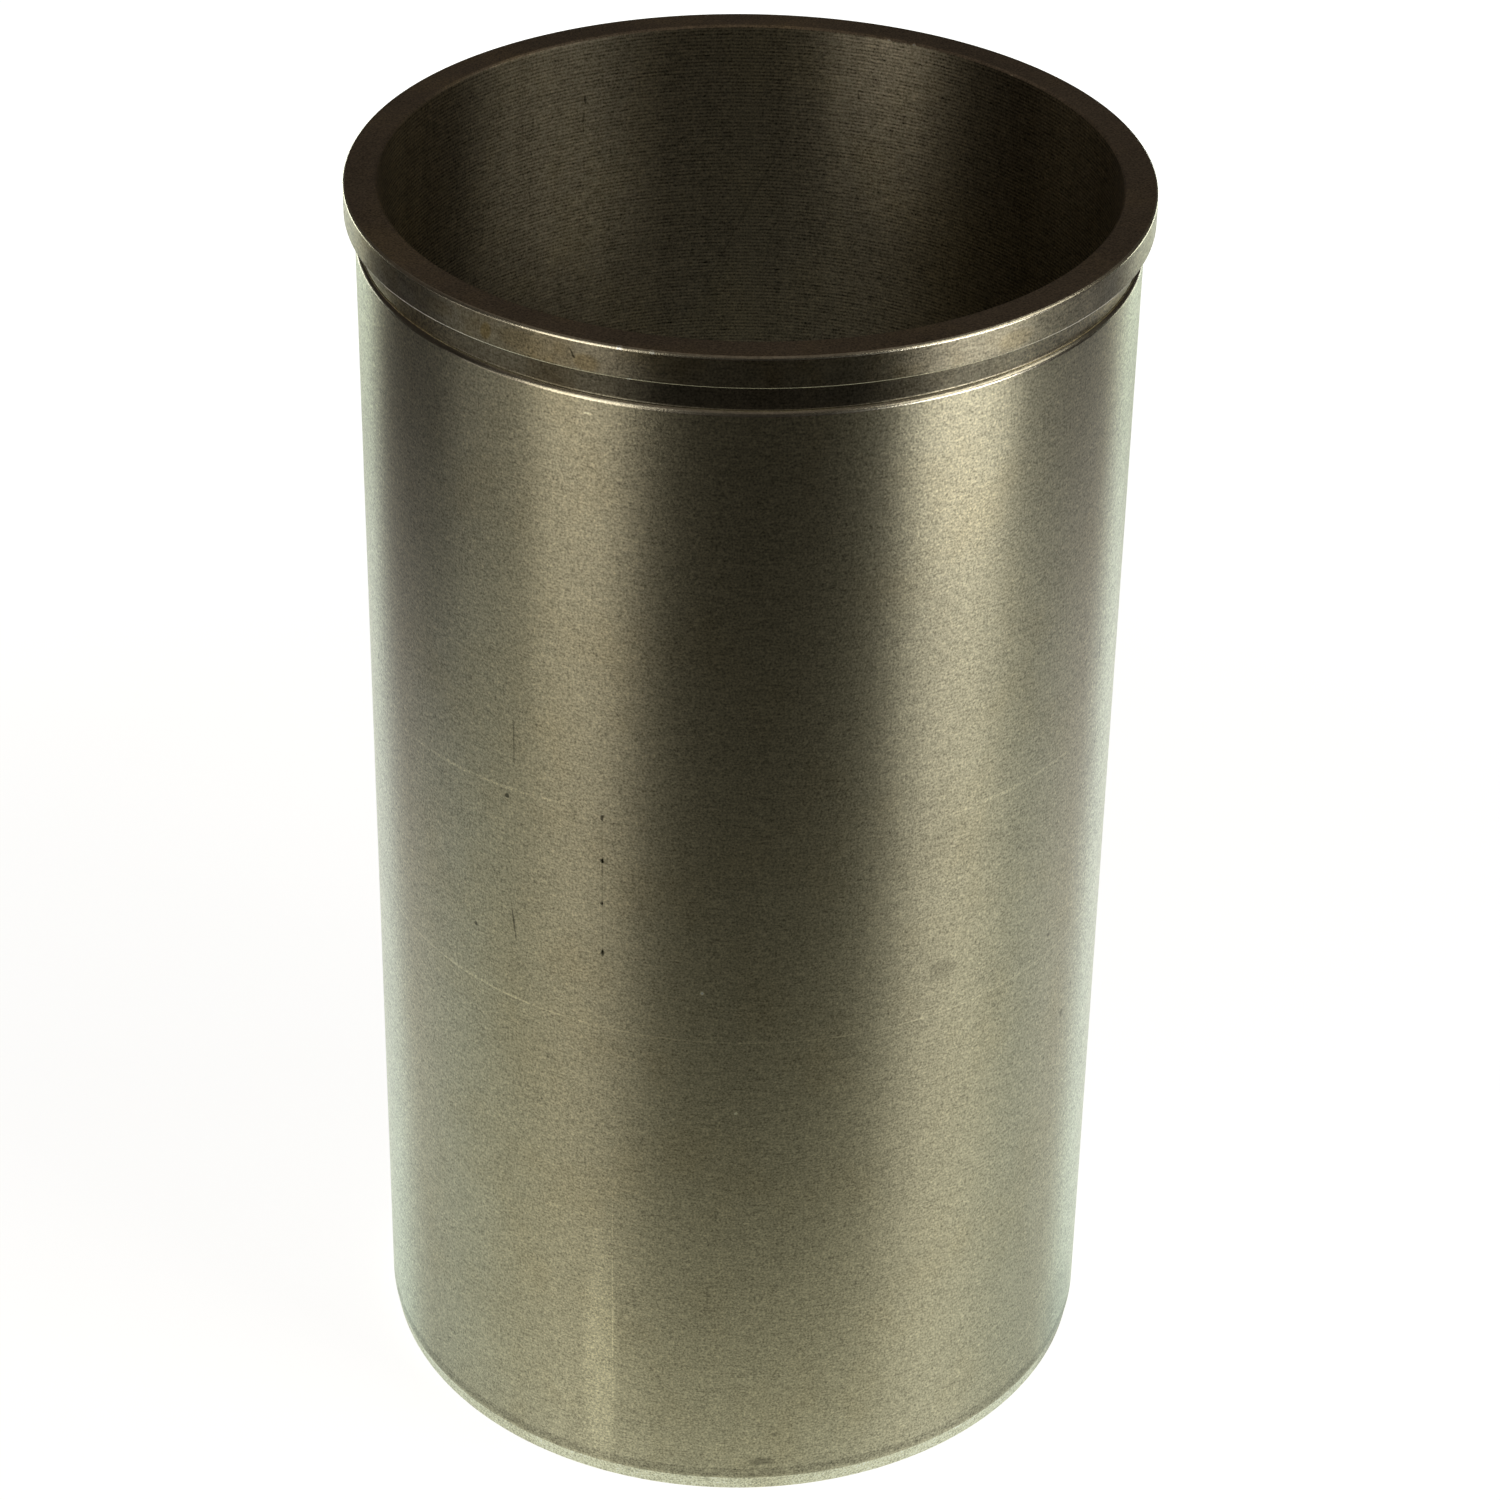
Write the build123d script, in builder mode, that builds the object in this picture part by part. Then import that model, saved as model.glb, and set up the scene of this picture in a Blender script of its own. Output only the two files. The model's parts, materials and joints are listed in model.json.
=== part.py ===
from build123d import *
import os

# Dry flanged cylinder liner for a small truck or tractor diesel, turned and ground from one grey-iron casting.
# Z is the bore axis and up is towards the cylinder head. The origin is the centre of the lower end face.
# All sizes are in millimetres.

# Bore, machined to the piston's nominal size
bore_diameter = 100.0
bore_top_break = 0.3
bore_bottom_chamfer = 0.6

# Ground outer body, a light press fit in the block
wall_thickness = 3.2
overall_length = 187.0

# Flange that hangs the liner in the block's counterbore; its overhang is measured from the body
flange_overhang = 1.4
flange_thickness = 4.5
flange_top_break = 0.3
flange_bottom_break = 0.2

# Grinding relief between the flange's seat and the body, with a round corner under the flange
# Its foot is a narrow ledge, and the body's top edge is chamfered down to that ledge
relief_depth = 0.6
relief_width = 3.9
relief_corner_radius = 0.5
relief_ledge = 0.2
relief_foot_radius = 0.15

# Lead-in taper at the lower end, which starts the liner in the block
lead_in_height = 2.3
lead_in_depth = 0.4

# Radii, each built outwards from the bore, and levels, each counted down from the top face
bore_radius = bore_diameter / 2
body_radius = bore_radius + wall_thickness
flange_radius = body_radius + flange_overhang
relief_radius = body_radius - relief_depth
lead_in_radius = body_radius - lead_in_depth
body_top_chamfer = relief_depth - relief_ledge
seat_level = overall_length - flange_thickness
body_top_level = seat_level - relief_width

# Sharp corners that are turned off at 45 degrees: radius, level, size
broken_corners = [
    (bore_radius, overall_length, bore_top_break),
    (bore_radius, 0, bore_bottom_chamfer),
    (flange_radius, overall_length, flange_top_break),
    (flange_radius, seat_level, flange_bottom_break),
    (body_radius, body_top_level, body_top_chamfer),
]

# Inner corners that the grinding wheel leaves round: radius, level, corner radius
rounded_corners = [
    (relief_radius, seat_level, relief_corner_radius),
    (relief_radius, body_top_level, relief_foot_radius),
]

os.makedirs("parts", exist_ok=True)

with BuildPart() as liner:
    # Wall section on one side of the bore axis: radius across, level up
    with BuildSketch(Plane.XZ) as wall_section:
        with BuildLine():
            Polyline(
                (bore_radius, 0),
                (lead_in_radius, 0),
                (body_radius, lead_in_height),
                (body_radius, body_top_level),
                (relief_radius, body_top_level),
                (relief_radius, seat_level),
                (flange_radius, seat_level),
                (flange_radius, overall_length),
                (bore_radius, overall_length),
                close=True,
            )
        make_face()
        for radius, level, size in broken_corners:
            corner = wall_section.vertices().sort_by_distance((radius, level, 0))[0]
            chamfer(corner, length=size)
        for radius, level, size in rounded_corners:
            corner = wall_section.vertices().sort_by_distance((radius, level, 0))[0]
            fillet(corner, radius=size)
    # The whole sleeve is the section turned once round the axis
    revolve(axis=Axis.Z)

liner.part.label = "liner_sleeve"
export_step(liner.part, "parts/liner_sleeve.step")
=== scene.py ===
import json
import math

import bpy
from mathutils import Matrix, Vector


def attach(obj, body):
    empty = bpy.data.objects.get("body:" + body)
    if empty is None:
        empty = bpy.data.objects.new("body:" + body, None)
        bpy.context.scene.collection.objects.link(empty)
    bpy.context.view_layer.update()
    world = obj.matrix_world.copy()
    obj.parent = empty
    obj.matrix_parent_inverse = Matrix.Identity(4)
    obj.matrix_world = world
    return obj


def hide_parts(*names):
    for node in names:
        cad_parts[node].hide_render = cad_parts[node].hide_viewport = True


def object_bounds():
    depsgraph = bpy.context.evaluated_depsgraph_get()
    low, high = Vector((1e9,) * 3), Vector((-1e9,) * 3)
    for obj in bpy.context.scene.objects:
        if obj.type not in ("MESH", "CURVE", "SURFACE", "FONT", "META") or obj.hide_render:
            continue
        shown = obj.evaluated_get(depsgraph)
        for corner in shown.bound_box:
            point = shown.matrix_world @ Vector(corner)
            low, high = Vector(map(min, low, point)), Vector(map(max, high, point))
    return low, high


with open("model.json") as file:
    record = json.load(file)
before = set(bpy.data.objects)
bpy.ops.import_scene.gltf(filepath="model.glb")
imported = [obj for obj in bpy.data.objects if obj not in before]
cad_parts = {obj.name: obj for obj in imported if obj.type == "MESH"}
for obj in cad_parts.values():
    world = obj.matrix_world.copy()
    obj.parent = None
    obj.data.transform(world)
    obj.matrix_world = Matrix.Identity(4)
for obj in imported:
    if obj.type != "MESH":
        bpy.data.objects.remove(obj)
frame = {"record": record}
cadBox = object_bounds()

mm = 0.001
mounts = {mount["name"]: mount for mount in frame["record"]["mounts"]}
print("frame loaded")

# Turned sizes of the sleeve, in metres: the CAD gives the fits, and the rest are the lathe's own settings
sleeve = {
    "boreRadius": mounts["piston_bore"]["dims"]["r_mm"] * mm,
    "bodyRadius": mounts["block_fit"]["dims"]["r_mm"] * mm,
    "flangeRadius": cadBox[1].x,
    "topLevel": mounts["head_face"]["pos_m"][2],
    "seatLevel": mounts["flange_seat"]["pos_m"][2],
    "reliefWidth": 3.9 * mm,
    "reliefDepth": 0.6 * mm,
    "reliefCornerRadius": 0.5 * mm,
    "reliefFootRadius": 0.15 * mm,
    "bodyTopChamfer": 0.4 * mm,
    "flangeTopBreak": 0.3 * mm,
    "flangeBottomBreak": 0.2 * mm,
    "boreTopBreak": 0.3 * mm,
    "boreBottomChamfer": 0.6 * mm,
    "leadInHeight": 2.3 * mm,
    "leadInDepth": 0.4 * mm,
    "edgeSoftness": 0.06 * mm,  # radius that wear leaves on each turned edge
    "flangeTopSoftness": 0.5 * mm,
    "flangeBottomSoftness": 0.2 * mm,
    "bodyTopSoftness": 0.8 * mm,
    "leadInSoftness": 0.4 * mm,
    "wideArcFrom": 0.18 * mm,  # radius above which a corner counts as wide
    "edgeStrip": 0.12 * mm,  # keeps the long faces flat in the light beside a rounded edge
    "stripFrom": 0.48 * mm,  # length above which a side gets such strips
    "arcSteps": 3,  # straight pieces in a narrow corner
    "wideArcSteps": 8,  # and in a wide one
    "stepsRound": 720,
    "sharpAngle": math.radians(32),  # edges that turn more than this stay crisp
}


def roundedCorner(before, corner, after, radius, steps):
    # Points of the arc that touches both sides of a corner, from the side of "before" to the side of "after"
    toBefore = (before - corner).normalized()
    toAfter = (after - corner).normalized()
    halfAngle = toBefore.angle(toAfter) / 2
    reach = radius / math.tan(halfAngle)
    centre = corner + (toBefore + toAfter).normalized() * radius / math.sin(halfAngle)
    start = corner + toBefore * reach - centre
    turn = start.angle_signed(corner + toAfter * reach - centre)
    points = []
    for step in range(steps + 1):
        spoke = Matrix.Rotation(-turn * step / steps, 2) @ start
        points.append(centre + spoke)
    return points


def wallSection(size):
    # Outline of the wall beside the axis, clockwise from the lower end of the bore: radius, then level
    bore, body, flange = size["boreRadius"], size["bodyRadius"], size["flangeRadius"]
    top, seat = size["topLevel"], size["seatLevel"]
    relief = body - size["reliefDepth"]
    bodyTop = seat - size["reliefWidth"]
    soft = size["edgeSoftness"]
    corners = [
        (bore, size["boreBottomChamfer"], soft),
        (bore, top - size["boreTopBreak"], soft),
        (bore + size["boreTopBreak"], top, soft),
        (flange - size["flangeTopBreak"], top, soft),
        (flange, top - size["flangeTopBreak"], size["flangeTopSoftness"]),
        (flange, seat + size["flangeBottomBreak"], size["flangeBottomSoftness"]),
        (flange - size["flangeBottomBreak"], seat, size["flangeBottomSoftness"]),
        (relief, seat, size["reliefCornerRadius"]),
        (relief, bodyTop, size["reliefFootRadius"]),
        (body - size["bodyTopChamfer"], bodyTop, soft),
        (body, bodyTop - size["bodyTopChamfer"], size["bodyTopSoftness"]),
        (body, size["leadInHeight"], size["leadInSoftness"]),
        (body - size["leadInDepth"], 0, soft),
        (bore + size["boreBottomChamfer"], 0, soft),
    ]
    places = [Vector((radius, level)) for radius, level, softness in corners]
    arcs = []
    for index, (radius, level, softness) in enumerate(corners):
        before = places[index - 1]
        after = places[(index + 1) % len(places)]
        steps = size["wideArcSteps"] if softness > size["wideArcFrom"] else size["arcSteps"]
        arcs.append(roundedCorner(before, places[index], after, softness, steps))
    outline = []
    for index, arc in enumerate(arcs):
        # a narrow strip of its own stands beside each corner whose following side is long enough
        following = arcs[(index + 1) % len(arcs)]
        side = following[0] - arc[-1]
        outline += arc
        if side.length > size["stripFrom"]:
            outline.append(arc[-1] + side.normalized() * size["edgeStrip"])
            outline.append(following[0] - side.normalized() * size["edgeStrip"])
    return outline


def turningTree():
    # Geometry Nodes lathe: the section's edges become a curve, which is carried round the axis
    tree = bpy.data.node_groups.new("turnedSection", "GeometryNodeTree")
    face = tree.interface
    face.new_socket("Section", in_out="INPUT", socket_type="NodeSocketGeometry")
    face.new_socket("Turning Radius", in_out="INPUT", socket_type="NodeSocketFloat")
    face.new_socket("Steps Round", in_out="INPUT", socket_type="NodeSocketInt")
    face.new_socket("Finish", in_out="INPUT", socket_type="NodeSocketMaterial")
    face.new_socket("Sleeve", in_out="OUTPUT", socket_type="NodeSocketGeometry")
    given = tree.nodes.new("NodeGroupInput")
    result = tree.nodes.new("NodeGroupOutput")
    outlineCurve = tree.nodes.new("GeometryNodeMeshToCurve")
    path = tree.nodes.new("GeometryNodeCurvePrimitiveCircle")
    carry = tree.nodes.new("GeometryNodeCurveToMesh")
    realize = tree.nodes.new("GeometryNodeRealizeInstances")
    finish = tree.nodes.new("GeometryNodeSetMaterial")
    link = tree.links.new
    link(given.outputs["Section"], outlineCurve.inputs["Mesh"])
    link(given.outputs["Steps Round"], path.inputs["Resolution"])
    link(given.outputs["Turning Radius"], path.inputs["Radius"])
    link(path.outputs["Curve"], carry.inputs["Curve"])
    link(outlineCurve.outputs["Curve"], carry.inputs["Profile Curve"])
    link(carry.outputs["Mesh"], realize.inputs["Geometry"])
    link(realize.outputs["Geometry"], finish.inputs["Geometry"])
    link(given.outputs["Finish"], finish.inputs["Material"])
    link(finish.outputs["Geometry"], result.inputs["Sleeve"])
    return tree


def setInput(modifier, name, value):
    for item in modifier.node_group.interface.items_tree:
        if item.item_type == "SOCKET" and item.in_out == "INPUT" and item.name == name:
            modifier[item.identifier] = value


def turnSleeve(name, size, finish):
    turningRadius = size["bodyRadius"]
    outline = wallSection(size)
    count = len(outline)
    mesh = bpy.data.meshes.new(name + "Section")
    points = [(radius - turningRadius, -level, 0) for radius, level in outline]
    mesh.from_pydata(points, [(index, (index + 1) % count) for index in range(count)], [])
    section = bpy.data.objects.new(name + "Section", mesh)
    bpy.context.scene.collection.objects.link(section)
    lathe = section.modifiers.new("lathe", "NODES")
    lathe.node_group = turningTree()
    setInput(lathe, "Turning Radius", turningRadius)
    setInput(lathe, "Steps Round", size["stepsRound"])
    setInput(lathe, "Finish", finish)
    graph = bpy.context.evaluated_depsgraph_get()
    turned = bpy.data.meshes.new_from_object(section.evaluated_get(graph))
    turned.name = name
    piece = bpy.data.objects.new(name, turned)
    bpy.context.scene.collection.objects.link(piece)
    bpy.data.objects.remove(section)
    return piece


# Node tools
def addNode(tree, kind, inputs=None, **settings):
    node = tree.nodes.new(kind)
    for key, value in settings.items():
        setattr(node, key, value)
    for key, value in (inputs or {}).items():
        if isinstance(value, bpy.types.NodeSocket):
            tree.links.new(value, node.inputs[key])
        else:
            node.inputs[key].default_value = value
    return node


def calc(tree, operation, *values):
    node = addNode(tree, "ShaderNodeMath", dict(enumerate(values)), operation=operation)
    return node.outputs[0]


def vector(tree, operation, *values):
    node = addNode(tree, "ShaderNodeVectorMath", dict(enumerate(values)), operation=operation)
    return node.outputs[0]


def scaled(tree, arrow, factor):
    node = addNode(tree, "ShaderNodeVectorMath", {0: arrow, "Scale": factor}, operation="SCALE")
    return node.outputs[0]


def lengthOf(tree, arrow):
    node = addNode(tree, "ShaderNodeVectorMath", {0: arrow}, operation="LENGTH")
    return node.outputs["Value"]


def blended(tree, share, first, second):
    # The first colour, with this share of the second
    node = addNode(tree, "ShaderNodeMix", {"Factor": share, "A": first, "B": second}, data_type="RGBA")
    return node.outputs["Result"]


def mapped(tree, value, fromLow, fromHigh, toLow=0.0, toHigh=1.0):
    # Eased from one value to the other, and held beyond both
    node = addNode(
        tree,
        "ShaderNodeMapRange",
        {"Value": value, "From Min": fromLow, "From Max": fromHigh, "To Min": toLow, "To Max": toHigh},
        interpolation_type="SMOOTHSTEP",
    )
    return node.outputs[0]


def noise(tree, place, grains, detail, roughness):
    # Noise between -1 and 1, about 0, with so many grains per metre along X, Y and Z
    stretched = vector(tree, "MULTIPLY", place, grains)
    node = addNode(
        tree,
        "ShaderNodeTexNoise",
        {"Vector": stretched, "Scale": 1.0, "Detail": detail, "Roughness": roughness},
    )
    return calc(tree, "MULTIPLY_ADD", node.outputs["Fac"], 2.0, -1.0)


def added(tree, total, value, share):
    return calc(tree, "MULTIPLY_ADD", value, share, total)


def surfacePlace(tree):
    # Where a point of the sleeve is: its object place, its angle round the axis, how far down from the top
    # it is, and its place on the wall unrolled
    place = addNode(tree, "ShaderNodeTexCoord").outputs["Object"]
    x, y, z = addNode(tree, "ShaderNodeSeparateXYZ", {0: place}).outputs
    angle = calc(tree, "ARCTAN2", y, x)
    down = calc(tree, "SUBTRACT", sleeve["topLevel"], z)
    around = calc(tree, "MULTIPLY", angle, sleeve["bodyRadius"])
    unrolled = addNode(tree, "ShaderNodeCombineXYZ", {"X": around, "Y": down}).outputs[0]
    return {"place": place, "angle": angle, "down": down, "unrolled": unrolled}


def grainDirection(tree, at):
    # Runs across the turning lines, up the walls and along the radius on the end faces
    normal = addNode(tree, "ShaderNodeNewGeometry").outputs["Normal"]
    aroundAxis = vector(tree, "CROSS_PRODUCT", (0, 0, 1), at["place"])
    return vector(tree, "NORMALIZE", vector(tree, "CROSS_PRODUCT", aroundAxis, normal))


# Scratches, pits and nicks. Each: degrees round the axis, mm down from the top, half width and half height
# in mm, tilt in degrees, and how far it darkens (below 0) or lightens (above 0) the metal
bodyMarks = [
    (-132.5, 71.7, 19.0, 0.32, -4.3, 0.34),
    (-133.0, 105.6, 13.0, 0.30, 0.0, 0.22),
    (-44.0, 73.0, 19.0, 0.30, 0.0, 0.20),
    (-110.2, 82.5, 0.12, 13.0, 0.0, -0.22),
    (-110.2, 71.3, 0.30, 0.45, 0.0, -0.75),
    (-110.2, 78.3, 0.35, 0.50, 0.0, -0.80),
    (-110.3, 85.1, 0.30, 0.45, 0.0, -0.75),
    (-110.2, 93.4, 0.35, 0.55, 0.0, -0.80),
    (-125.4, 92.7, 0.17, 4.20, -7.0, -0.60),
    (-124.8, 63.3, 0.15, 3.60, 0.0, -0.48),
    (-126.2, 72.6, 0.38, 0.38, 0.0, -0.70),
    (-133.0, 96.4, 0.42, 0.42, 0.0, -0.70),
    (-95.1, 97.6, 0.35, 0.35, 0.0, 1.60),
    (-89.9, 117.8, 0.35, 0.35, 0.0, 1.10),
    (-57.9, 98.5, 2.60, 2.00, 20.0, -0.22),
    (-34.7, 102.6, 0.40, 0.30, 0.0, -0.45),
    (-28.5, 119.8, 0.45, 0.90, 0.0, -0.45),
    (-25.4, 116.3, 0.40, 0.60, 0.0, -0.45),
    (-22.4, 61.5, 0.30, 2.20, 0.0, -0.32),
    (-28.0, 60.7, 0.30, 0.25, 0.0, -0.40),
    (-21.8, 77.1, 0.40, 0.30, 0.0, -0.45),
    (-162.6, 67.5, 0.40, 0.35, 0.0, -0.45),
    (-108.8, 152.5, 0.10, 26.0, 0.0, 0.30),
    (-85.0, 181.6, 2.20, 0.80, 0.0, -0.35),
    (-112.0, 11.0, 0.70, 0.16, 0.0, 0.90),
]
boreMarks = [
    (118.7, 9.3, 0.20, 0.90, 9.0, -0.60),
    (119.0, 11.6, 0.26, 1.30, -5.0, -0.50),
    (119.1, 14.1, 0.17, 0.80, 0.0, -0.55),
    (129.4, 19.6, 0.20, 1.10, -8.0, -0.45),
    (129.6, 22.1, 0.16, 0.70, 6.0, -0.45),
    (72.0, 9.8, 0.35, 0.50, 0.0, -0.55),
    (67.5, 38.0, 0.35, 0.35, 0.0, -0.50),
    (124.0, 37.7, 0.35, 0.35, 0.0, -0.50),
    (89.8, 27.4, 0.22, 20.0, -27.0, -0.25),
]
flangeMarks = [
    (-113.6, 2.2, 0.17, 0.90, -25.0, -0.70),
    (-127.0, 2.3, 1.60, 1.60, 0.0, 0.25),
]
edgeMarks = [
    (-102.5, 0.3, 0.45, 0.35, 0.0, 0.90),
    (-107.0, 0.3, 0.50, 0.35, 0.0, 0.90),
    (-105.6, 4.4, 0.40, 0.35, 0.0, 0.90),
]
rimMarks = [  # at the bore's upper edge
    (-146.3, 0.25, 0.30, 0.17, 0.0, 2.20),
    (-138.0, 0.25, 0.35, 0.17, 0.0, 1.60),
    (-134.1, 0.25, 0.35, 0.17, 0.0, 2.20),
    (-128.4, 0.25, 0.30, 0.17, 0.0, 1.40),
    (43.1, 0.25, 0.35, 0.17, 0.0, 2.00),
    (62.6, 0.25, 0.35, 0.17, 0.0, 2.40),
    (67.1, 0.25, 0.40, 0.17, 0.0, 2.60),
]
# Painted light and shade: broad stretches with a smooth outline, painted brighter where a highlight falls
# and duller where shade falls
bodyPaintedShading = [
    # painted highlights: a long streak low on the left and a brighter stretch at the top of the right
    # highlight; painted shade low on the right beside the foot
    (-111.0, 166.0, 3.0, 26.0, 0.0, 0.24),
    (-59.0, 15.0, 11.0, 24.0, 0.0, 0.16),
    (-20.0, 180.0, 9.0, 9.0, 0.0, -0.15),
]
flangePaintedShading = [
    # painted shade at two places on the flange and a painted highlight at a third, where its highlights fall
    (-109.0, 2.3, 14.0, 6.0, 0.0, -0.36),
    (-71.0, 2.3, 9.0, 6.0, 0.0, -0.28),
    (-44.0, 2.3, 11.0, 6.0, 0.0, 0.35),
]
reliefPaintedShading = [
    # painted shade in the middle of the relief and painted light at its sides
    (-109.0, 6.6, 15.0, 7.0, 0.0, -0.55),
    (-71.0, 6.6, 9.0, 6.0, 0.0, -0.45),
    (-145.0, 6.6, 12.0, 6.0, 0.0, 0.90),
    (-38.0, 6.6, 16.0, 6.0, 0.0, 1.00),
]
edgePaintedShade = [
    # painted shade on the bright line of the body's top edge at both far sides
    (-149.0, 8.8, 24.0, 1.1, 0.0, -0.50),
    (-24.0, 8.8, 23.0, 1.1, 0.0, -0.45),
]
# painted shade on the lead-in beside the foot on the right
leadInPaintedShade = [(-18.0, 186.0, 11.0, 4.0, 0.0, -0.35)]
# Where the flange has tarnished: the last figure is how much of the stain shows
flangeTarnish = [
    (-127.3, 2.7, 1.00, 1.50, 12.0, 1.00),
    (-121.0, 2.4, 4.20, 1.90, 0.0, 0.55),
    (-111.8, 3.1, 2.00, 1.50, 0.0, 0.65),
    (-136.5, 2.2, 4.00, 1.60, 0.0, 0.35),
    (-52.0, 2.6, 3.20, 1.40, 0.0, 0.35),
]
# Rings round the whole body: mm down where each starts and ends, mm over which it fades, and its strength
bodyRings = [
    (105.62, 105.80, 0.06, 0.30),
    (182.9, 184.3, 0.15, -0.22),
]
wear = {
    "core": 0.5,  # share of a mark's half width that has its full strength
    "rim": 1.1,  # share of it at which the mark has gone
    "ragged": 0.9,  # how far the clusters of the grain fray a mark
    "tarnishRagged": 0.7,  # and how far the mottle frays a tarnished place
    "stainFrom": -0.1,  # height of the stain's noise at which it starts, and at which it is full
    "stainFull": 0.5,
}


def markSum(tree, at, marks, ragged):
    # Each mark is an oval on the unrolled wall; the sum is how far they lighten or darken the metal
    total = 0.0
    for azimuth, level, halfWidth, halfHeight, tilt, strength in marks:
        local = addNode(
            tree,
            "ShaderNodeMapping",
            {
                "Vector": at["unrolled"],
                "Location": (math.radians(azimuth) * sleeve["bodyRadius"], level * mm, 0),
                "Rotation": (0, 0, math.radians(tilt)),
                "Scale": (halfWidth * mm, halfHeight * mm, 1),
            },
            vector_type="TEXTURE",
        ).outputs[0]
        fromMiddle = calc(tree, "ADD", lengthOf(tree, local), ragged)
        mask = mapped(tree, fromMiddle, wear["core"], wear["rim"], 1.0, 0.0)
        total = calc(tree, "MULTIPLY_ADD", mask, strength, total)
    return total


def band(tree, value, low, high, fade):
    # 1 between low and high, 0 outside
    above = mapped(tree, value, low - fade, low + fade)
    below = mapped(tree, value, high - fade, high + fade, 1.0, 0.0)
    return calc(tree, "MULTIPLY", above, below)


# Textures that all the finishes share: grains per metre along X, Y and Z, then detail and roughness
texture = {
    "grain": ((3400, 3400, 3400), 2.0, 0.6),
    "clusters": ((1100, 1100, 1300), 2.0, 0.6),
    "dashes": ((420, 420, 3600), 2.0, 0.55),
    "mottle": ((55, 55, 90), 3.0, 0.6),
    "streaks": ((230, 230, 7), 2.0, 0.6),
    "stain": ((75, 75, 60), 3.0, 0.6),
}
# Painted sheen: the colour is whitened where the metal is seen nearly edge-on, standing in for the bright
# reflection of the sheet at the outline
paintedEdgeSheen = {"colour": (0.73, 0.765, 0.63, 1), "from": 0.64, "to": 0.84}

# Finishes of the iron, one for each way the surface was cut; all start from the ground body's
groundBody = {
    "colour": (0.50, 0.465, 0.345),
    "roughness": 0.39,
    "anisotropy": 0.79,
    "grain": 1.08,  # how much each texture lightens and darkens the metal
    "clusters": 0.22,
    "dashes": 0.32,
    "mottle": 0.08,
    "stain": (0.47, 0.41, 0.27),
    "staining": 0.35,  # share of the stain where it is strongest
    "pitting": 0.010 * mm,  # height of the grain under the light
    "paintedSheen": 1.0,  # share of the painted edge-on sheen
    "marks": bodyMarks,
    "paintedShading": bodyPaintedShading,
    "bands": bodyRings,
    "tarnish": [],
}
plainIron = dict(groundBody, paintedSheen=0.0, marks=[], paintedShading=[], bands=[])
turnedFlange = dict(
    plainIron,
    colour=(0.37, 0.335, 0.25),
    roughness=0.375,
    anisotropy=0.84,
    dashes=0.45,
    mottle=0.22,
    stain=(0.30, 0.235, 0.12),
    staining=0.8,
    paintedSheen=0.2,
    marks=flangeMarks,
    paintedShading=flangePaintedShading,
    tarnish=flangeTarnish,
)
cutRelief = dict(
    plainIron,
    colour=(0.35, 0.32, 0.24),
    roughness=0.31,
    anisotropy=0.5,
    dashes=0.45,
    mottle=0.22,
    stain=(0.27, 0.22, 0.13),
    staining=0.8,
    paintedShading=reliefPaintedShading,
)
facedEnd = dict(
    plainIron,
    colour=(0.42, 0.355, 0.265),
    roughness=0.30,
    anisotropy=0.0,
    dashes=0.1,
    mottle=0.35,
    stain=(0.56, 0.46, 0.29),
    staining=0.7,
    marks=rimMarks,
)
boredWall = dict(
    plainIron,
    colour=(0.38, 0.34, 0.26),
    roughness=0.44,
    anisotropy=0.85,
    grain=1.25,
    clusters=0.35,
    dashes=0.6,
    marks=boreMarks,
    ringPitch=0.533 * mm,  # feed of the boring tool
    rings=0.26,
    streaks=0.22,
)
brokenEdge = dict(
    plainIron,
    colour=(0.72, 0.67, 0.54),
    roughness=0.26,
    anisotropy=0.0,
    grain=0.5,
    marks=edgeMarks,
    paintedShading=edgePaintedShade,
)
leadIn = dict(
    plainIron,
    colour=(0.87, 0.85, 0.68),
    roughness=0.42,
    anisotropy=0.6,
    paintedShading=leadInPaintedShade,
)


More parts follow.
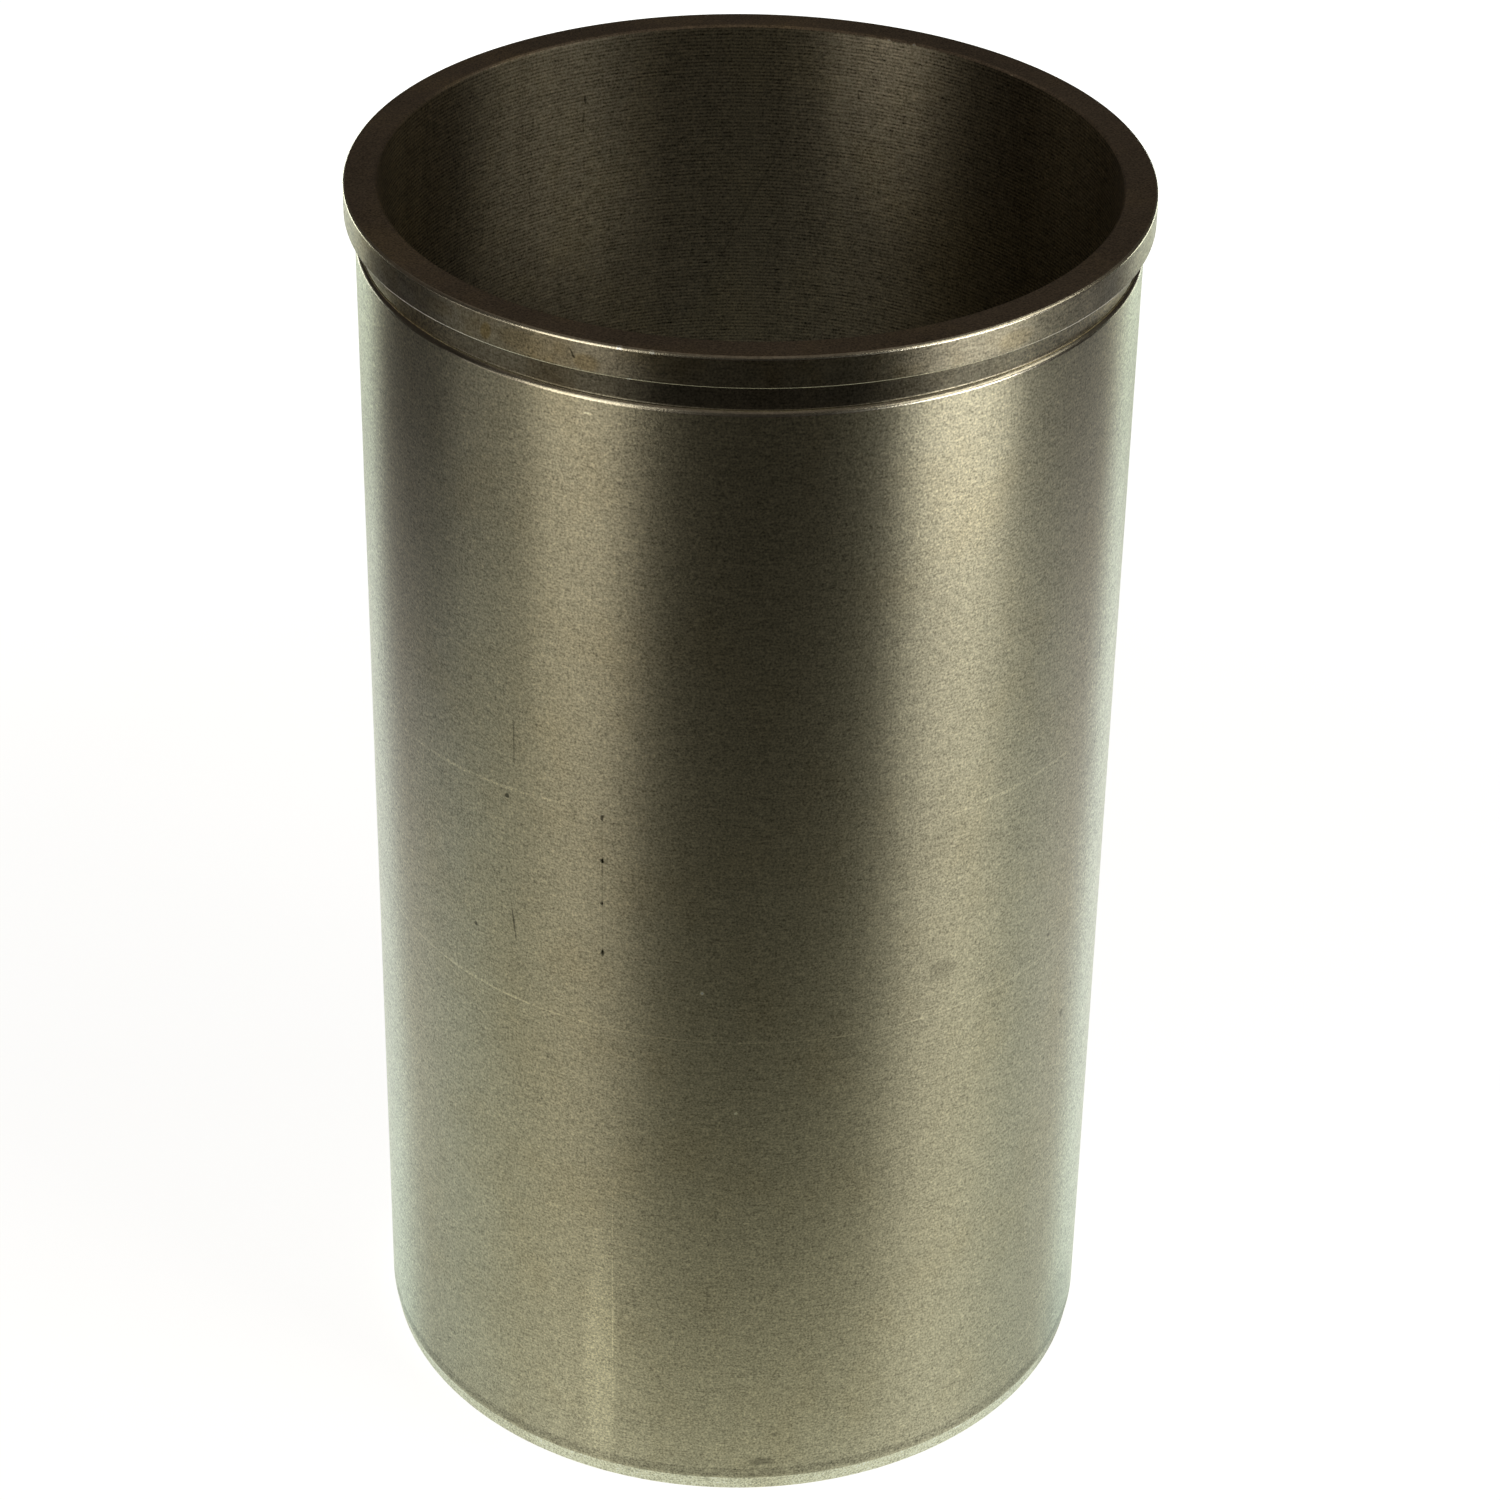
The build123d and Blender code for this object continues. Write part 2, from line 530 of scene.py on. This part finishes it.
def ironFinish(name, look):
    material = bpy.data.materials.new(name)
    material.use_nodes = True
    tree = material.node_tree
    shader = tree.nodes["Principled BSDF"]
    at = surfacePlace(tree)
    layers = {}
    tone = 1.0
    for layer in ("grain", "clusters", "dashes", "mottle"):
        layers[layer] = noise(tree, at["place"], *texture[layer])
        tone = added(tree, tone, layers[layer], look[layer])
    if "ringPitch" in look:
        streaks = noise(tree, at["place"], *texture["streaks"])
        tone = added(tree, tone, streaks, look["streaks"])
        # the rings are one thread, so the height runs on round the axis
        phase = calc(tree, "MULTIPLY_ADD", at["down"], math.tau / look["ringPitch"], at["angle"])
        tone = added(tree, tone, calc(tree, "SINE", phase), look["rings"])
    if look["marks"]:
        ragged = calc(tree, "MULTIPLY", layers["clusters"], wear["ragged"])
        marks = markSum(tree, at, look["marks"], ragged)
        tone = calc(tree, "MULTIPLY", tone, calc(tree, "ADD", marks, 1.0))
    # painted highlights and painted shade from the broad stretches
    if look["paintedShading"]:
        paintedShading = markSum(tree, at, look["paintedShading"], 0.0)
        tone = calc(tree, "MULTIPLY", tone, calc(tree, "ADD", paintedShading, 1.0))
    for low, high, fade, strength in look["bands"]:
        tone = added(tree, tone, band(tree, at["down"], low * mm, high * mm, fade * mm), strength)
    spread = noise(tree, at["place"], *texture["stain"])
    stained = mapped(tree, spread, wear["stainFrom"], wear["stainFull"], 0.0, look["staining"])
    if look["tarnish"]:
        ragged = calc(tree, "MULTIPLY", layers["mottle"], wear["tarnishRagged"])
        stained = calc(tree, "MAXIMUM", stained, markSum(tree, at, look["tarnish"], ragged))
    base = blended(tree, stained, (*look["colour"], 1), (*look["stain"], 1))
    # painted sheen at the outline: the colour is whitened where the metal is seen edge-on
    if look["paintedSheen"]:
        facing = addNode(tree, "ShaderNodeLayerWeight", {"Blend": 0.5}).outputs["Facing"]
        sheenShare = mapped(tree, facing, paintedEdgeSheen["from"], paintedEdgeSheen["to"], 0.0, look["paintedSheen"])
        base = blended(tree, sheenShare, base, paintedEdgeSheen["colour"])
    tree.links.new(scaled(tree, base, tone), shader.inputs["Base Color"])
    bump = addNode(tree, "ShaderNodeBump", {"Height": layers["grain"], "Distance": look["pitting"]})
    tree.links.new(bump.outputs["Normal"], shader.inputs["Normal"])
    tree.links.new(grainDirection(tree, at), shader.inputs["Tangent"])
    shader.inputs["Metallic"].default_value = 1.0
    shader.inputs["Roughness"].default_value = look["roughness"]
    shader.inputs["Anisotropic"].default_value = look["anisotropy"]
    return material


looks = {
    "groundBody": groundBody,
    "turnedFlange": turnedFlange,
    "cutRelief": cutRelief,
    "facedEnd": facedEnd,
    "boredWall": boredWall,
    "brokenEdge": brokenEdge,
    "leadIn": leadIn,
}
finishes = {name: ironFinish(name, look) for name, look in looks.items()}
print("finishes made")


# How the faces are told apart
endFace = 0.9  # upward or outward part of the normal of a face that looks that way
straightWall = 0.9975  # outward part of the normal above which a face isn't an edge
hair = 0.01 * mm


def finishAt(radius, level, normal, size):
    # The finish of a face, from where it is and which way it looks
    relief = size["bodyRadius"] - size["reliefDepth"]
    outward = math.hypot(normal.x, normal.y)
    if radius < size["boreRadius"] + hair:
        return "boredWall"
    if abs(normal.z) > endFace:
        return "facedEnd" if level > size["topLevel"] - hair or level < hair else "cutRelief"
    if radius < relief - size["reliefDepth"]:
        return "facedEnd"
    if level < size["leadInHeight"] and outward > endFace:
        return "leadIn"
    if radius < relief + hair and level > size["leadInHeight"]:
        return "cutRelief"
    if outward < straightWall:
        return "brokenEdge"
    return "turnedFlange" if level > size["seatLevel"] else "groundBody"


def dressSleeve(piece, size):
    names = list(finishes)
    mesh = piece.data
    mesh.materials.clear()
    for name in names:
        mesh.materials.append(finishes[name])
    for polygon in mesh.polygons:
        centre = polygon.center
        radius = math.hypot(centre.x, centre.y)
        name = finishAt(radius, centre.z, polygon.normal, size)
        polygon.material_index = names.index(name)
        polygon.use_smooth = True
    mesh.set_sharp_from_angle(angle=size["sharpAngle"])


linerSleeve = turnSleeve("linerSleeve", sleeve, finishes["groundBody"])
dressSleeve(linerSleeve, sleeve)
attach(linerSleeve, "root")
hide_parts("liner_sleeve")
print("sleeve turned:", len(linerSleeve.data.polygons), "faces")


# Camera: its place in metres, its turns in radians, its focal length and frame in pixels
camera = {
    "place": (0.0, -0.52227, sleeve["topLevel"] + 0.23898),
    "pan": 0.0024549,
    "tiltDown": 0.5646777,
    "roll": 0.0179386,
    "focalPixels": 4243.02,
    "framePixels": 1500,
    "sensor": 36.0,
    "clipStart": 0.01,
    "clipEnd": 20,
}


def placeCamera(view):
    data = bpy.data.cameras.new("studioCamera")
    data.sensor_width = view["sensor"]
    data.lens = view["focalPixels"] / view["framePixels"] * view["sensor"]
    data.clip_start = view["clipStart"]
    data.clip_end = view["clipEnd"]
    eye = bpy.data.objects.new("studioCamera", data)
    turned = Matrix.Rotation(-view["pan"], 4, "Z")
    turned = turned @ Matrix.Rotation(math.pi / 2 - view["tiltDown"], 4, "X")
    turned = turned @ Matrix.Rotation(view["roll"], 4, "Z")
    eye.matrix_world = Matrix.Translation(view["place"]) @ turned
    bpy.context.scene.collection.objects.link(eye)
    bpy.context.scene.camera = eye


placeCamera(camera)
print("camera placed")


# Studio: a pale sheet in a dark room, soft lamps in front and above, and a low panel on each side behind
studio = {
    "sheetLeft": -0.225,
    "sheetRight": 0.283,
    "sheetFront": -0.17,
    "sheetBack": 1.6,
    "sheetColour": (0.80, 0.80, 0.79, 1),
    # how bright the eye sees the sheet itself: low enough for a shadow near the sleeve, white far off
    "sheetShown": 0.885,
    "shownNear": 0.18,
    "shownFar": 0.42,
    "shadowPaper": (0.5, 0.5, 0.5),
    # how bright the metal sees the sheet, from its front edge backwards
    "sheetShade": [
        (-0.17, (0.0, 0.0, 0.0)),
        (-0.13, (0.23, 0.23, 0.18)),
        (-0.09, (0.49, 0.49, 0.39)),
        (-0.065, (0.67, 0.68, 0.56)),
        (-0.03, (0.70, 0.76, 0.70)),
        (0.02, (0.92, 0.96, 0.92)),
        (0.10, (1.0, 1.0, 1.0)),
        (0.21, (1.0, 1.0, 1.0)),
        (0.27, (0.45, 0.45, 0.45)),
        (0.34, (0.20, 0.20, 0.20)),
    ],
    "boreShade": 0.42,  # how much of its brightness the sheet keeps inside the bore
    "boreShadeFrom": sleeve["boreRadius"] + 0.8 * mm,  # the change is hidden under the wall
    "boreShadeTo": sleeve["bodyRadius"] - 0.6 * mm,
}
room = {
    "radius": 1.8,
    "floor": -0.01,
    "height": 2.2,
    "sides": 32,
    "light": (0.045, 0.038, 0.032, 1),
    "frontGlow": 0.30,  # share of the light at the front wall
    "frontEnds": -0.2,
    "backStarts": 0.6,
    "ceilingGlow": 1.7,
    "ceilingStarts": 1.2,
}
lamps = {
    "leftLamp": {
        "azimuth": -134.3, "distance": 0.55, "height": 0.185, "aim": 0.11,
        "wide": 0.261, "tall": 0.36, "glow": 2.1, "colour": (1.0, 0.94, 0.82),
    },
    "rightLamp": {
        "azimuth": -31.6, "distance": 0.55, "height": 0.148, "aim": 0.11,
        "wide": 0.274, "tall": 0.092, "glow": 10.6, "colour": (1.0, 0.985, 0.94),
    },
    "leftFill": {
        "azimuth": -164.0, "distance": 0.55, "height": 0.05, "aim": 0.05,
        "wide": 0.20, "tall": 0.10, "glow": 0.85, "colour": (1.0, 0.95, 0.85),
    },
    "highLamp": {
        "azimuth": -20.0, "distance": 0.6, "height": 0.49, "aim": 0.187,
        "wide": 0.60, "tall": 0.24, "glow": 1.7, "colour": (1.0, 0.96, 0.82),
    },
    "highLeftLamp": {
        "azimuth": -130.0, "distance": 0.6, "height": 0.52, "aim": 0.187,
        "wide": 0.30, "tall": 0.20, "glow": 0.9, "colour": (1.0, 0.96, 0.84),
    },
    "leftPanel": {
        "azimuth": 121.3, "distance": 0.5, "height": 0.045, "aim": 0.045,
        "wide": 0.5, "tall": 0.09, "glow": 3.2, "colour": (0.95, 1.0, 0.88),
    },
    "rightPanel": {
        "azimuth": 56.9, "distance": 0.5, "height": 0.035, "aim": 0.035,
        "wide": 0.5, "tall": 0.07, "glow": 3.5, "colour": (0.94, 1.0, 0.87),
    },
}


def litForShow(tree):
    # 1 for the rays that should see the white background, 0 for those that light the sleeve
    path = addNode(tree, "ShaderNodeLightPath")
    seen = calc(tree, "MAXIMUM", path.outputs["Is Camera Ray"], path.outputs["Is Glossy Ray"])
    return calc(tree, "MAXIMUM", seen, path.outputs["Is Transmission Ray"])


def paleSheetFinish():
    material = bpy.data.materials.new("paleSheet")
    material.use_nodes = True
    tree = material.node_tree
    tree.nodes.clear()
    place = addNode(tree, "ShaderNodeTexCoord").outputs["Object"]
    towardsBack = addNode(tree, "ShaderNodeSeparateXYZ", {0: place}).outputs["Y"]
    fromAxis = lengthOf(tree, place)
    # what the metal sees
    shades = studio["sheetShade"]
    front, back = shades[0][0], shades[-1][0]
    along = addNode(tree, "ShaderNodeMapRange", {"Value": towardsBack, "From Min": front, "From Max": back})
    shade = addNode(tree, "ShaderNodeValToRGB", {"Fac": along.outputs[0]})
    stops = shade.color_ramp.elements
    stops[0].color = (*shades[0][1], 1)
    stops[1].color = (*shades[-1][1], 1)
    for y, shadeColour in shades[1:-1]:
        stops.new((y - front) / (back - front)).color = (*shadeColour, 1)
    # what the eye sees
    cameraRay = addNode(tree, "ShaderNodeLightPath").outputs["Is Camera Ray"]
    shownLevel = mapped(tree, fromAxis, studio["shownNear"], studio["shownFar"], studio["sheetShown"], 1.0)
    seen = blended(tree, cameraRay, shade.outputs["Color"], scaled(tree, (1, 1, 1), shownLevel))
    lit = mapped(tree, fromAxis, studio["boreShadeFrom"], studio["boreShadeTo"], studio["boreShade"], 1.0)
    white = addNode(tree, "ShaderNodeEmission", {"Color": seen, "Strength": lit})
    dusk = addNode(tree, "ShaderNodeBsdfDiffuse", {"Color": scaled(tree, studio["shadowPaper"], cameraRay)})
    shown = addNode(tree, "ShaderNodeAddShader", {0: dusk.outputs[0], 1: white.outputs[0]})
    # what lights the sleeve
    paper = addNode(tree, "ShaderNodeBsdfDiffuse", {"Color": studio["sheetColour"]})
    choice = {0: litForShow(tree), 1: paper.outputs[0], 2: shown.outputs[0]}
    mixed = addNode(tree, "ShaderNodeMixShader", choice)
    addNode(tree, "ShaderNodeOutputMaterial", {"Surface": mixed.outputs[0]})
    return material


def laySheet():
    left, right = studio["sheetLeft"], studio["sheetRight"]
    front, back = studio["sheetFront"], studio["sheetBack"]
    mesh = bpy.data.meshes.new("paleSheet")
    corners = [(left, front, 0), (right, front, 0), (right, back, 0), (left, back, 0)]
    mesh.from_pydata(corners, [], [(0, 1, 2, 3)])
    mesh.materials.append(paleSheetFinish())
    sheet = bpy.data.objects.new("paleSheet", mesh)
    bpy.context.scene.collection.objects.link(sheet)


def raiseRoom():
    # Dark walls that only the metal sees
    material = bpy.data.materials.new("dimRoom")
    material.use_nodes = True
    tree = material.node_tree
    tree.nodes.clear()
    place = addNode(tree, "ShaderNodeTexCoord").outputs["Object"]
    apart = addNode(tree, "ShaderNodeSeparateXYZ", {0: place})
    towardsBack, up = apart.outputs["Y"], apart.outputs["Z"]
    wallGlow = mapped(tree, towardsBack, room["frontEnds"], room["backStarts"], room["frontGlow"], 1.0)
    ceiling = mapped(tree, up, room["ceilingStarts"], room["height"], 0.0, room["ceilingGlow"])
    strength = calc(tree, "ADD", wallGlow, ceiling)
    glow = addNode(tree, "ShaderNodeEmission", {"Color": room["light"], "Strength": strength})
    addNode(tree, "ShaderNodeOutputMaterial", {"Surface": glow.outputs[0]})
    mesh = bpy.data.meshes.new("dimRoom")
    sides = room["sides"]
    turns = [math.tau * index / sides for index in range(sides)]
    rim = [(room["radius"] * math.cos(turn), room["radius"] * math.sin(turn)) for turn in turns]
    points = [(x, y, room["floor"]) for x, y in rim] + [(x, y, room["height"]) for x, y in rim]
    walls = []
    for index in range(sides):
        following = (index + 1) % sides
        walls.append((index, following, sides + following, sides + index))
    mesh.from_pydata(points, [], walls + [tuple(range(sides)), tuple(range(sides, 2 * sides))])
    mesh.materials.append(material)
    walling = bpy.data.objects.new("dimRoom", mesh)
    bpy.context.scene.collection.objects.link(walling)
    walling.visible_camera = False


def hangLamp(name, lamp):
    data = bpy.data.lights.new(name, "AREA")
    data.shape = "RECTANGLE"
    data.size = lamp["wide"]
    data.size_y = lamp["tall"]
    data.energy = lamp["glow"] * math.pi * lamp["wide"] * lamp["tall"]  # glow is how bright its face is
    data.color = lamp["colour"]
    bulb = bpy.data.objects.new(name, data)
    azimuth = math.radians(lamp["azimuth"])
    place = Vector((math.cos(azimuth), math.sin(azimuth), 0)) * lamp["distance"]
    place.z = lamp["height"]
    target = Vector((0, 0, lamp["aim"]))
    turned = (target - place).to_track_quat("-Z", "Y").to_matrix().to_4x4()
    bulb.matrix_world = Matrix.Translation(place) @ turned
    bulb.visible_camera = False
    bpy.context.scene.collection.objects.link(bulb)


def fillWorld():
    world = bpy.data.worlds.new("studioWorld")
    bpy.context.scene.world = world
    world.use_nodes = True
    tree = world.node_tree
    tree.nodes.clear()
    dim = addNode(tree, "ShaderNodeBackground", {"Color": room["light"], "Strength": 1.0})
    white = addNode(tree, "ShaderNodeBackground", {"Color": (1, 1, 1, 1), "Strength": 1.0})
    choice = {0: litForShow(tree), 1: dim.outputs[0], 2: white.outputs[0]}
    mixed = addNode(tree, "ShaderNodeMixShader", choice)
    addNode(tree, "ShaderNodeOutputWorld", {"Surface": mixed.outputs[0]})


laySheet()
raiseRoom()
for lampName, lampSettings in lamps.items():
    hangLamp(lampName, lampSettings)
fillWorld()
bpy.context.scene.view_settings.view_transform = "Standard"
print("studio set")
